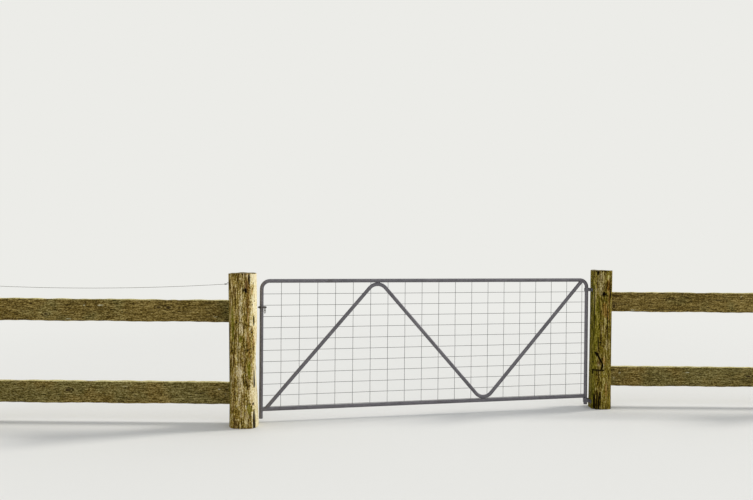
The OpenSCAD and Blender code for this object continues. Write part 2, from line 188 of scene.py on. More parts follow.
def weathered_log(name, dark, mid, pale, sunlit_bleached, algae, warmth):
    """Old timber of a post: short high streaks along the grain, and the marks that its mesh carries."""
    log = Finish(name, roughness=0.85, specular=0.04)
    broad = log.noise(10, (1, 1, 0.4), detail=4, warp=0.5)
    columns = log.noise(38, (1, 1, 0.035), detail=3, rough=0.5)
    streaks = log.step(log.noise(100, (1, 1, 0.12), detail=6, rough=0.6, warp=0.12), 0.34, 0.66)
    fibres = log.step(log.noise(210, (1, 1, 0.022), detail=4, rough=0.6, warp=0.1), 0.34, 0.66)
    specks = log.step(log.noise(130, (1, 1, 0.55), detail=5, rough=0.6), 0.34, 0.66)
    fine = log.step(log.noise(430, (1, 1, 0.05), detail=3, rough=0.6), 0.3, 0.7)
    silver = log.painted("silver") * (specks * 0.8 + 0.4)
    # Dark marks lower the tone; some of them are painted shade
    lift = silver * 0.14 + log.painted("pale") * 0.34 - log.painted("dark") * 0.3
    tone = streaks * 0.36 + fibres * 0.28 + specks * 0.32 + fine * 0.34 + broad * 0.16 + columns * 0.28 - 0.428 + lift
    # The palest stop is the colour of bleached timber and of painted sunlight on the sunny side
    colour = log.ramp(tone, (0.04, DEEPEST_GRAIN), (0.27, dark), (0.47, mid), (0.68, pale), (0.88, sunlit_bleached))

    warm = log.step(log.noise(52, (1, 1, 0.14), detail=3, rough=0.6), 0.46, 0.62)
    colour = log.mix(warm * warmth, colour, log.ramp(tone, *WARM_SHADES))
    colour = log.mix(silver * 0.5, colour, log.ramp(tone, *SILVER_SHADES))
    damp = log.step(log.painted("algae") * 0.9 + broad * 0.7 - log.painted("pale"), 0.42, 0.9)
    colour = log.mix(damp * 0.7, colour, log.ramp(tone, (0.1, DAMP_DARK), (0.42, algae), (0.85, DAMP_PALE)))
    rust = log.step(log.painted("rust") + streaks * 0.4 + specks * 0.5 + fibres * 0.3 - 0.9, 0.1, 0.55)
    colour = log.mix(rust * 0.7, colour, log.ramp(tone, *RUST_SHADES))
    colour = log.mix(log.painted("knot") * 0.75, colour, log.ramp(fibres, *KNOT_SHADES))
    # Checks and splits are painted near-black, as painted shade in the cracks
    checks = log.step(log.noise(105, (1, 1, 0.07), detail=2, rough=0.5, warp=0.5), 0.62, 0.7)
    split = (log.painted("split") * 1.6 + checks * 0.45).clip()
    colour = log.mix(split, colour, SPLIT_SHADE)

    rings = (log.painted("ring") * 2400 + streaks * 3).wave() * 0.5 + 0.5
    sawn_top = log.step(log.painted("ring"), 0.0004, 0.0008)
    end_grain = log.mix(rings * 0.5 + fine * 0.4, RING_DARK, RING_PALE)
    colour = log.mix(sawn_top * (1 - log.painted("split")), colour, end_grain)
    rough = log.step(fine, 0.3, 0.7) * 0.14 + 0.78
    return log.wear(colour, rough, bump=streaks * 0.4 + fibres * 0.3 + fine * 0.3 - split * 0.6, depth=0.0035)


BOARD_H = 0.197
BOARD_LEVELS = {"latch": (0.978, 0.255), "hinge": (1.027, 0.290)}
# How deep the boards' flats are cut, their play above and below a board, and the run of a flat's edge
HOUSING, SEAT_PLAY, SEAT_EDGE = 0.012, 0.0003, 0.0004

POST_SIDES, POST_ROWS = 208, 250
# A post's outline is reckoned from this far below the floor
FOOT_BELOW = 0.04
FOOT_SWELL = 0.05
# Where the waist lies and how far it reaches, as shares of the height
WAIST_AT, WAIST_REACH = 0.41, 0.16
# Bulges round the outline: how many, and their height as a share of the radius
LOBES = ((3, 0.012), (5, 0.008), (11, 0.007))
# Hollows along the grain: how many lie round a post, and their height in millimetres
FLUTES = ((7, 1.1), (11, 1.0), (17, 0.9), (29, 0.7), (43, 0.45), (61, 0.3))
# How the grain strays round a post, in radians, and how quickly
GRAIN_WAVES = ((0.03, 5), (0.014, 17), (0.006, 53))


def wrapped(angle):
    """The same angle, less than half a turn either way."""
    return np.angle(np.exp(1j * angle))


def hewn_radius(width, seed, hollow, angle, t):
    """The posts' soft square outline, at an angle and a share of the height."""
    square = (np.abs(np.cos(angle)) ** 3 + np.abs(np.sin(angle)) ** 3) ** (-1 / 3)
    lobes = 0.985
    for nth, (count, height) in enumerate(LOBES, 1):
        lobes = lobes + height * np.cos(count * angle + nth * math.radians(seed))
    waist = hollow * ((1 + np.cos(angle)) / 2) ** 2 * np.exp(-(((t - WAIST_AT) / WAIST_REACH) ** 2))
    return width / 2 * square * lobes * (1 + FOOT_SWELL * (1 - t) ** 6 - waist)


def flutes(rng, angle, z):
    """Shallow hollows along the grain, a little twisted, in metres."""

    def sway(slow, quick, turned=0.0):
        return np.sin(z * rng.uniform(slow, quick) + turned + rng.uniform(0, 6.3))

    relief = np.zeros_like(angle)
    for count, height in FLUTES:
        drift = 0.9 * sway(1.5, 4) + 0.5 * sway(6, 14)
        fade = 0.6 + 0.4 * sway(2, 7, angle)
        relief += height * fade * np.cos(count * angle + drift + rng.uniform(0, 6.3))
    return relief * 0.001


def stroke(angle, z, start, end, wide, mean_radius):
    """How near a point of a post lies to a line between two marks, each an angle in degrees and a height."""
    across = wrapped(angle - math.radians(start[0])) * mean_radius
    run = math.radians(end[0] - start[0]) * mean_radius
    rise = end[1] - start[1]
    share = np.clip((across * run + (z - start[1]) * rise) / max(run * run + rise * rise, 1e-9), 0, 1)
    # A short mark stays blunt and a long one tapers towards its ends
    blunt = 0.5 if math.hypot(run, rise) < 5 * wide else 0.15
    taper = wide * (blunt + (1 - blunt) * (4 * share * (1 - share)) ** 0.6)
    far = np.hypot(across - share * run, z - start[1] - share * rise)
    return np.exp(-((far / taper) ** 2))


# Waves of the ragged edge of the pale side, which is bleached and painted as sunlit: radians either way, their pace
# up the post, and where they start
EDGE_WAVES = ((0.03, 90, 0), (0.04, 210, 1), (0.03, 390, 2))
# The ridge's height, how far its crest lies past the edge, and half its width
RIDGE_H, RIDGE_AT, RIDGE_HALF = 0.0045, 0.007, 0.012
# How far past the edge the palest timber, a painted highlight, starts, and the angle where the pale side ends
PALEST_FROM, PALE_END = 0.045, 0.9
# How softly the edge, the start of the palest timber and the end of the pale side fade
EDGE_SOFT, PALEST_SOFT, PALE_END_SOFT = 0.003, 0.008, 0.05


def bleached_and_sunlit_edge(arris, angle, z, mean_radius):
    """The low ridge along the sunny edge of a post, in metres, and how pale the timber is beyond it, partly bleached
    and partly painted sunlight.
    """
    ragged = sum(wide * np.sin(z * pace + start) for wide, pace, start in EDGE_WAVES)
    edge = np.radians(np.interp(z, *zip(*arris))) + ragged
    past = (wrapped(angle) - edge) * mean_radius
    ridge = RIDGE_H * np.exp(-(((past - RIDGE_AT) / RIDGE_HALF) ** 2))
    palest = 1 + 0.4 / (1 + np.exp(-(past - PALEST_FROM) / PALEST_SOFT))
    pale_end = 1 + np.exp((wrapped(angle) - PALE_END) / PALE_END_SOFT)
    return ridge, palest / (1 + np.exp(-past / EDGE_SOFT)) / pale_end


MARK_KINDS = ("split", "knot", "pale", "rust", "algae", "silver", "dark")
# The sawn top: its rings from the rim inwards, the rise to its middle, and its checks
TOP_RINGS = (0.985, 0.95, 0.88, 0.76, 0.6, 0.42, 0.22, 0.05)
TOP_RISE, TOP_MIDDLE = 0.004, 0.002
# Waves round the sawn top's rim: how many, and their height
RIM_WAVES = ((2, 0.003), (7, 0.0015))
CHECKS, CHECK_WIDE, CHECK_DEEP = 7, 0.035, 0.003


def log_post(name, material, at, width, height, seed, lean, marks, levels, leaf_face=None, hollow=0.0, arris=None):
    """A post over its node, with its marks pressed into it and painted on it."""
    rng = np.random.default_rng(seed)
    edges = np.array([z + s * (BOARD_H / 2 + SEAT_PLAY) for z in levels for s in (-1, 1)])
    rows = np.unique(np.concatenate([np.linspace(0, height, POST_ROWS), edges, edges + SEAT_EDGE, edges - SEAT_EDGE]))
    columns = np.arange(POST_SIDES) * 2 * math.pi / POST_SIDES
    z, angle = np.meshgrid(rows, columns, indexing="ij")
    t = (z + FOOT_BELOW) / (height + FOOT_BELOW)
    radius = hewn_radius(width, seed, hollow, angle, t) + flutes(rng, angle, z)
    grain = angle
    for stray, pace in GRAIN_WAVES:
        grain = grain + stray * np.sin(z * pace + seed)
    painted = {}
    for kind in MARK_KINDS:
        painted[kind] = np.zeros_like(z)
        for start, end, wide, deep in marks.get(kind, []):
            near = stroke(grain, z, start, end, wide, width / 2)
            radius -= deep * near
            painted[kind] = np.maximum(painted[kind], near)
    # The sunny side is painted pale: partly bleached timber, partly painted sunlight
    if arris is not None:
        ridge, sunny = bleached_and_sunlit_edge(arris, angle, z, width / 2)
        radius += ridge
        painted["pale"] = np.maximum(painted["pale"], sunny)

    middle_x = lean * t
    x = radius * np.cos(angle)
    y = radius * np.sin(angle)
    # The flat side that carries the straps
    if leaf_face is not None:
        shrink = np.where(x + middle_x < -leaf_face, (-leaf_face - middle_x) / np.minimum(x, -1e-6), 1.0)
        x, y = x * shrink, y * shrink
    # The flats that the boards lie in
    housed = np.zeros_like(z, bool)
    for level in levels:
        housed |= np.abs(z - level) <= BOARD_H / 2 + SEAT_EDGE
    seat = width / 2 - HOUSING
    shrink = np.where(housed & (y > seat), seat / np.maximum(y, 1e-6), 1.0)
    x, y = x * shrink + middle_x, y * shrink

    points = [np.stack([x, y, z], -1).reshape(-1, 3)]
    wave = sum(high * np.cos(count * columns + nth * seed) for nth, (count, high) in enumerate(RIM_WAVES, 1))
    rim = points[0][-POST_SIDES:]
    rim[:, 2] = height + wave
    centre = np.array([lean, 0, height + TOP_MIDDLE])
    values = {key: [value.ravel()] for key, value in painted.items()}
    values["ring"] = [np.zeros(z.size)]
    # The sawn top, ring by ring inwards, with its checks
    for share in TOP_RINGS:
        ring = centre + (rim - centre) * share
        away = [wrapped(columns - at_angle) * share for at_angle in rng.uniform(0, 6.28, CHECKS)]
        checks = np.clip(sum(np.exp(-((a / CHECK_WIDE) ** 2)) for a in away), 0, 1) * share
        ring[:, 2] = height + TOP_RISE * (1 - share) + wave * share**3 - CHECK_DEEP * checks
        points.append(ring)
        for key in painted:
            # The top's checks are painted as splits, so the finish darkens them as painted shade
            values[key].append(0.9 * checks if key == "split" else np.zeros(POST_SIDES))
        values["ring"].append(np.full(POST_SIDES, share * width / 2))
    faces = tube_faces(len(rows) + len(TOP_RINGS), POST_SIDES)
    last = (len(rows) + len(TOP_RINGS) - 1) * POST_SIDES
    faces.append(tuple(last + i for i in range(POST_SIDES)))
    faces.append(tuple(reversed(range(POST_SIDES))))
    points = np.concatenate(points) + np.array([at[0], at[1], 0])
    values = {key: np.concatenate(value) for key, value in values.items()}
    post = solid(name + "_log", points, faces, material, **values)
    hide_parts(name)
    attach(post, "fence")


# The latch post's palest shade is bleached timber and painted sunlight on its sunny side
latch_timber = weathered_log(
    "latch_post_timber", dark=paint(58, 43, 8), mid=paint(140, 115, 36), pale=paint(216, 192, 112),
    sunlit_bleached=paint(252, 243, 204), algae=paint(116, 112, 14), warmth=0.5,
)
hinge_timber = weathered_log(
    "hinge_post_timber", dark=paint(42, 31, 3), mid=paint(120, 103, 22), pale=paint(166, 149, 62),
    sunlit_bleached=paint(216, 205, 144), algae=paint(108, 104, 12), warmth=0.25,
)

# Each mark runs from one angle and height to another, and has half a width and a depth
LATCH_MARKS = {
    "pale": [
        # The first two pale strokes are a painted highlight along a raised ridge
        ((-99, 0.56), (-91, 0.4), 0.006, -0.002), ((-91, 0.4), (-85, 0.3), 0.006, -0.002),
        ((-61, 1.32), (-60, 1.22), 0.004, -0.001), ((-68, 1.2), (-68, 1.196), 0.006, -0.002),
        ((-72, 0.36), (-66, 0.26), 0.006, -0.001), ((-90, 1.1), (-91, 0.9), 0.003, 0),
        ((-75, 0.2), (-62, 0.08), 0.004, -0.001),
    ],
    "split": [
        ((-56, 1.318), (-56, 1.226), 0.006, 0.01), ((-71, 1.19), (-66, 1.16), 0.01, 0.012),
        ((-78, 1.176), (-77, 1.17), 0.007, 0.006), ((-33, 0.96), (-33, 0.87), 0.0085, 0.006),
        ((-20, 0.51), (-34, 0.345), 0.02, 0.003), ((-44, 0.215), (-46, 0.2), 0.008, 0.01),
        ((-43, 0.16), (-42, -0.15), 0.012, 0.007), ((-60, 0.675), (-60, 0.66), 0.006, 0.006),
        ((-53, 0.648), (-52, 0.642), 0.005, 0.004), ((-38, 1.242), (-37, 1.235), 0.004, 0.003),
        ((-41, 1.058), (-43, 1.05), 0.005, 0.004), ((-29, 1.086), (-29, 1.08), 0.004, 0.003),
        ((-45, 0.826), (-47, 0.815), 0.005, 0.004), ((-30, 0.607), (-31, 0.598), 0.004, 0.003),
        ((-148, 1.3), (-146, 0.0), 0.006, 0.01), ((-100, 0.8), (-104, 0.55), 0.002, 0.004),
        ((-82, 1.05), (-80, 0.95), 0.002, 0.004), ((-76, 0.5), (-73, 0.34), 0.002, 0.004),
        ((60, 1.2), (55, 0.4), 0.005, 0.018), ((-178, 1.1), (-176, 0.3), 0.004, 0.012),
        ((115, 1.3), (118, 0.62), 0.004, 0.014),
    ],
    "knot": [
        ((-66, 1.26), (-68, 1.17), 0.014, -0.003), ((130, 0.7), (130, 0.69), 0.02, -0.004),
        ((30, 0.5), (30, 0.48), 0.022, -0.004),
    ],
    "rust": [
        ((-64, 1.27), (-64, 1.16), 0.016, 0), ((-60, 1.318), (-70, 1.318), 0.01, 0),
        ((-59, 1.318), (-59, 0.84), 0.011, 0), ((-62, 0.84), (-56, 0.6), 0.012, 0),
        ((-44, 1.2), (-46, 1.14), 0.012, 0), ((-36, 0.79), (-34, 0.72), 0.01, 0),
    ],
    "algae": [
        ((-160, 1.3), (-156, 0.0), 0.026, 0), ((-124, 1.05), (-121, 0.75), 0.012, 0),
        ((150, 1.2), (150, 0.0), 0.09, 0), ((-59, 0.2), (-59, 0.13), 0.026, -0.003),
        ((-57, 0.57), (-58, 0.42), 0.018, 0), ((-92, 0.79), (-92, 0.74), 0.012, 0),
    ],
    "silver": [
        ((-88, 0.93), (-90, 0.79), 0.024, 0), ((-104, 0.56), (-100, 0.2), 0.014, 0),
        ((-90, 1.14), (-91, 0.9), 0.014, 0), ((-96, 0.6), (-90, 0.3), 0.011, 0),
        ((-30, 1.318), (-34, 1.26), 0.04, 0),
    ],
    # Dark marks: darker patches, with painted shade down the post's left edge at -166 to -163 degrees
    "dark": [
        ((-166, 1.3), (-163, 0.0), 0.022, 0), ((-57, 1.318), (-57, 1.2), 0.007, 0),
        ((-140, 1.28), (-138, 1.16), 0.008, 0), ((-40, 1.23), (-42, 1.17), 0.008, 0),
        ((-47, 1.08), (-46, 1.0), 0.006, 0), ((-42, 0.86), (-40, 0.78), 0.01, 0),
        ((-46, 0.4), (-47, 0.36), 0.005, 0),
    ],
}
# The line where the pale side starts, bleached and painted as sunlit: its height and its angle
LATCH_ARRIS = [
    (0.0, -53), (0.133, -52), (0.174, -48), (0.229, -60), (0.287, -64), (0.346, -55), (0.412, -50), (0.478, -43),
    (0.534, -30), (0.619, -26), (0.707, -32), (0.812, -42), (0.883, -52), (0.968, -54), (1.053, -53), (1.138, -50),
    (1.223, -54), (1.318, -55),
]
HINGE_MARKS = {
    "pale": [
        ((-125, 0.505), (-113, 0.467), 0.008, -0.001), ((-87, 0.44), (-86, 0.392), 0.0075, -0.001),
        ((-52, 0.406), (-50, 0.4), 0.009, 0), ((-106, 0.33), (-104, 0.27), 0.005, -0.001),
        ((-67, 1.3), (-66, 1.245), 0.01, 0), ((-58, 1.155), (-58, 1.116), 0.006, 0),
        ((-70, 0.237), (-69, 0.18), 0.007, 0), ((-62, 0.83), (-60, 0.81), 0.007, 0), ((25, 1.2), (20, 0.1), 0.03, 0),
        ((-6, 1.34), (-6, 0.9), 0.02, 0),
    ],
    "split": [
        ((-124, 1.34), (-124, 1.3), 0.008, 0.01), ((-86, 1.13), (-88, 1.1), 0.015, 0.02),
        ((-106, 0.652), (-106, 0.642), 0.009, 0.01), ((-134, 0.549), (-120, 0.516), 0.013, 0.018),
        ((-121, 0.518), (-92, 0.434), 0.0078, 0.012), ((-93, 0.44), (-99, 0.385), 0.009, 0.014),
        ((-158, 0.377), (-80, 0.379), 0.0068, 0.012), ((-148, 0.379), (-146, 0.34), 0.008, 0.01),
        ((-150, 0.46), (-150, 0.45), 0.006, 0.006), ((-50, 1.185), (-48, 1.065), 0.006, 0.006),
        ((-136, 0.15), (-128, -0.15), 0.009, 0.012), ((-110, 0.15), (-108, -0.12), 0.007, 0.01),
        ((-120, 0.7), (-118, 0.56), 0.0035, 0.006), ((-68, 1.0), (-66, 0.7), 0.0035, 0.008),
        ((75, 1.3), (70, 0.5), 0.004, 0.014), ((150, 1.2), (152, 0.2), 0.004, 0.014),
        ((30, 1.1), (25, 0.1), 0.005, 0.018), ((-138, 1.2), (-140, 0.7), 0.0035, 0.007),
    ],
    "knot": [((-118, 0.46), (-112, 0.44), 0.014, -0.003), ((60, 0.5), (60, 0.49), 0.02, -0.004)],
    "rust": [
        ((-64, 1.25), (-62, 1.14), 0.026, 0), ((-56, 1.14), (-54, 1.0), 0.012, 0),
        ((-84, 1.02), (-78, 0.9), 0.03, 0), ((-60, 0.98), (-62, 0.86), 0.014, 0),
        ((-92, 0.5), (-84, 0.44), 0.014, 0), ((-72, 0.26), (-70, 0.12), 0.012, 0),
    ],
    "algae": [
        ((-150, 1.25), (-146, 0.0), 0.035, 0), ((-122, 1.1), (-124, 0.6), 0.018, 0),
        ((170, 1.3), (170, 0.0), 0.06, 0), ((100, 0.7), (100, 0.0), 0.05, 0),
    ],
    "silver": [
        ((-106, 1.33), (-104, 1.1), 0.028, 0), ((-70, 0.68), (-69, 0.57), 0.018, 0),
        ((-138, 1.2), (-138, 0.9), 0.014, 0), ((-124, 0.44), (-110, 0.43), 0.02, 0),
    ],
    # Dark marks: damp patches, with a painted shadow along the top rim at 1.338
    "dark": [
        ((-128, 0.18), (-124, 0.0), 0.03, 0), ((-106, 0.17), (-104, 0.04), 0.014, 0),
        ((-66, 1.24), (-62, 1.15), 0.018, 0), ((-156, 1.338), (-60, 1.338), 0.008, 0),
        ((-86, 1.115), (-86, 1.1), 0.03, 0), ((-120, 0.5), (-100, 0.43), 0.014, 0),
    ],
}
FENCE_MARKS = {
    "split": [
        ((a, 1.25 - 0.2 * (k % 2)), (a + 3, 0.1 + 0.15 * (k % 3)), 0.004, 0.014)
        for k, a in enumerate((-140, -85, -30, 35, 95, 160))
    ],
    "knot": [((-70, 0.82), (-70, 0.79), 0.018, -0.003), ((120, 0.42), (120, 0.4), 0.02, -0.003)],
    "pale": [((0, 1.28), (4, 0.1), 0.04, 0)],
    "algae": [((-170, 1.2), (-165, 0.0), 0.06, 0), ((-100, 0.3), (-100, 0.0), 0.08, 0)],
    "rust": [((90, 1.05), (92, 0.85), 0.012, 0)],
    "silver": [((-95, 1.2), (-92, 0.7), 0.03, 0)],
}

LATCH_AT = (-3.324789, -0.793160)
BAY = 2.44
LATCH_W, HINGE_W, FENCE_W = 0.234, 0.188, 0.205
LATCH_H, HINGE_H, FENCE_H = 1.318, 1.34, 1.29
# The hinge post's log before its flat side was cut
HINGE_LOG_W = HINGE_W * 1.03

log_post(
    "hinge_post", hinge_timber, (0, 0), width=HINGE_LOG_W, height=HINGE_H, seed=40, lean=0.006,
    marks=HINGE_MARKS, levels=BOARD_LEVELS["hinge"], leaf_face=HINGE_W / 2,
)
log_post(
    "latch_post", latch_timber, LATCH_AT, width=LATCH_W, height=LATCH_H, seed=110, lean=-0.024,
    marks=LATCH_MARKS, levels=BOARD_LEVELS["latch"], hollow=0.15, arris=LATCH_ARRIS,
)
log_post(
    "left_fence_post", latch_timber, (LATCH_AT[0] - BAY, LATCH_AT[1] + (LATCH_W - FENCE_W) / 2),
    width=FENCE_W, height=FENCE_H, seed=200, lean=0.008, marks=FENCE_MARKS, levels=BOARD_LEVELS["latch"],
)
log_post(
    "right_fence_post", hinge_timber, (BAY, (HINGE_W - FENCE_W) / 2),
    width=FENCE_W, height=FENCE_H, seed=310, lean=-0.006, marks=FENCE_MARKS, levels=BOARD_LEVELS["hinge"],
)

# Fence boards
# Sawn planks lie in shallow flats on the far side of the posts, nailed from behind. Their edges are
# worn round, the ends have opened into short splits, and the top edge carries a painted highlight.

PLANK_SHADES = (0.06, paint(42, 30, 6)), (0.4, paint(112, 92, 36)), (0.8, paint(190, 168, 104))
GREEN_SHADES = (0.06, paint(34, 32, 8)), (0.4, paint(100, 96, 48)), (0.8, paint(164, 160, 110))
STREAK_SHADES = (0.1, paint(56, 28, 12)), (0.6, paint(132, 84, 50))
LICHEN_SHADES = (0.35, paint(168, 160, 118)), (0.6, paint(226, 220, 184))
# The painted highlight on a plank's top edge
TOP_HIGHLIGHT_SHADES = (0.1, paint(140, 128, 74)), (0.4, paint(196, 184, 120)), (0.72, paint(232, 222, 166))
# The plank's knots, and the near-black of its splits, which is painted shade
PLANK_KNOT, PLANK_SPLIT_SHADE = paint(44, 30, 12), paint(26, 20, 8)


def sawn_board_finish():
    """Old sawn timber: short streaks along the plank, greener on the lower boards, with a painted highlight on the
    top edge.
    """
    plank = Finish("old_plank", roughness=0.85, specular=0.08)
    broad = plank.noise(6, (0.3, 1, 1.4), detail=4, warp=0.4)
    grain = plank.step(plank.noise(105, (0.12, 1, 1), detail=6, rough=0.6, warp=0.3), 0.35, 0.65)
    threads = plank.step(plank.noise(220, (0.06, 1, 1), detail=5, rough=0.6, warp=0.15), 0.35, 0.65)
    specks = plank.step(plank.noise(135, (0.42, 1, 1), detail=5, rough=0.65), 0.34, 0.66)
    fine = plank.step(plank.noise(400, (0.05, 1, 1), detail=3, rough=0.6), 0.3, 0.7)
    knot = plank.painted("knot")
    rings = (knot * 11).wave() * knot * (1 - knot) * 0.9
    low = plank.painted("low")
    # The lower boards' tone is lifted a little: painted light that makes up for the less light reaching them
    tone = grain * 0.26 + threads * 0.25 + specks * 0.49 + fine * 0.34 + broad * 0.28 + low * 0.032 - 0.425 + rings
    green = plank.step(plank.noise(3.5, detail=6) + low * 0.12, 0.5, 0.72)
    colour = plank.mix(green * 0.5, plank.ramp(tone, *PLANK_SHADES), plank.ramp(tone, *GREEN_SHADES))
    colour = plank.mix(plank.step(knot, 0.55, 0.95) * 0.8, colour, PLANK_KNOT)
    rust = plank.step(plank.painted("rust") + threads * 0.3 - 0.3, 0.05, 0.7)
    colour = plank.mix(rust * 0.6, colour, plank.ramp(tone, *STREAK_SHADES))
    lichen = plank.step(plank.painted("lichen") + (specks - 0.5) * 0.5, 0.4, 0.6)
    colour = plank.mix(lichen * 0.85, colour, plank.ramp(fine, *LICHEN_SHADES))
    # The painted highlight along the top edge
    top = (plank.painted("top") * 1.3 + grain * 0.3 - 0.3).clip()
    colour = plank.mix(top, colour, plank.ramp(tone, *TOP_HIGHLIGHT_SHADES))
    # Checks and end splits are painted near-black, as painted shade in the cracks
    checks = plank.step(plank.noise(80, (0.05, 1, 1), detail=2, warp=0.6), 0.63, 0.7)
    split = (plank.painted("split") * 1.3 + checks * 0.6).clip()
    colour = plank.mix(split * 0.85, colour, PLANK_SPLIT_SHADE)
    relief = grain * 0.4 + threads * 0.3 + specks * 0.2 + fine * 0.2 - split * 0.7
    return plank.wear(colour, fine * 0.16 + 0.76, bump=relief, depth=0.0025)


plank_timber = sawn_board_finish()

# Each mark has its place along the fence, its height, and half its width and height
BOARD_MARKS = {
    "left_upper_board": {
        "knot": [(-4.107, 1.007, 0.045, 0.02), (-4.02, 1.006, 0.05, 0.026), (-5.1, 0.94, 0.04, 0.02)],
        "lichen": [
            (-4.764, 1.022, 0.007, 0.012), (-3.61, 0.93, 0.05, 0.005), (-4.62, 1.02, 0.03, 0.004),
            (-4.9, 0.9, 0.03, 0.004),
        ],
    },
    "left_lower_board": {
        "knot": [(-4.9, 0.27, 0.05, 0.022), (-3.2, 0.2, 0.03, 0.02)],
        "lichen": [(-3.567, 0.288, 0.012, 0.007), (-3.515, 0.245, 0.007, 0.009), (-4.4, 0.31, 0.03, 0.004)],
    },
    "right_upper_board": {
        "knot": [
            (0.162, 0.986, 0.03, 0.04), (0.741, 1.066, 0.035, 0.016), (0.69, 1.05, 0.02, 0.012),
            (1.9, 1.0, 0.04, 0.02),
        ],
        "lichen": [(1.419, 1.086, 0.01, 0.006), (0.35, 0.945, 0.03, 0.005), (1.0, 1.0, 0.03, 0.004)],
    },
    "right_lower_board": {
        "knot": [(1.5, 0.3, 0.05, 0.022), (2.1, 0.26, 0.03, 0.02)],
        "lichen": [(0.226, 0.326, 0.014, 0.008), (0.171, 0.272, 0.006, 0.007), (0.9, 0.33, 0.03, 0.004)],
    },
}
# Where each nail goes through its board: along the fence, and its height
NAILS_AT = {
    "left_upper_board": [(-3.345, 1.03), (-3.30, 0.925), (-5.79, 1.03), (-5.74, 0.93)],
    "left_lower_board": [(-3.34, 0.31), (-3.29, 0.2), (-5.79, 0.2), (-5.745, 0.31)],
    "right_upper_board": [(-0.015, 1.085), (0.03, 0.97), (2.415, 0.975), (2.465, 1.08)],
    "right_lower_board": [(-0.01, 0.235), (0.035, 0.345), (2.42, 0.34), (2.465, 0.24)],
}

BOARD_ROWS, BOARD_CORNER = 300, 0.005
# The worn edges reach this share of the height in from the top and the bottom
WORN_FROM, WORN_SHARE = 0.93, 0.07
CHIPS, CHIP_DEEP = 9, 0.0035
# How far a plank strays up and down along its length, slowly and quickly
SLOW_BEND, QUICK_BEND = 0.0012, 0.0006
# How wavy its worn edges are, above and below
UPPER_WAVE, UNDER_WAVE = 0.0015, 0.002
# How far down from its top edge the painted highlight reaches, and over what height that fades
HIGHLIGHT_DEEP, HIGHLIGHT_FADE = 0.009, 0.006
# The splits that start at a plank's ends: their number, half their width, their depth, and how far they stray
END_SPLITS, SPLIT_HALF, SPLIT_DEEP, SPLIT_STRAY = 7, 0.0045, 0.0045, 0.01
# Half the width of a rust streak at its nail, and how far it runs down
STREAK_HALF, STREAK_LONG = 0.006, 0.07
# How far in from the ends a plank has worn thinner and lower, and by what share
END_WORN, END_THINNER, END_LOWER = 0.006, 0.06, 0.012


def plank_section(thick, tall):
    """The outline across a plank: worn corners, with points between them for the splits to press in."""
    far, upper = thick - BOARD_CORNER, tall - BOARD_CORNER
    sides = (
        (far, upper, [(thick * f, tall) for f in (0.75, 0.5, 0.25)]),
        (BOARD_CORNER, upper, [(0, tall * f) for f in np.linspace(0.95, 0.05, 20)]),
        (BOARD_CORNER, BOARD_CORNER, [(thick * f, 0) for f in (0.25, 0.5, 0.75)]),
        (far, BOARD_CORNER, [(thick, tall * f) for f in np.linspace(0.05, 0.95, 20)]),
    )
    outline = []
    for quarter, (y, z, side) in enumerate(sides):
        for k in range(4):
            turn = math.radians(90 * quarter + 30 * k)
            outline.append((y + BOARD_CORNER * math.cos(turn), z + BOARD_CORNER * math.sin(turn)))
        outline += side
    return np.array(outline)


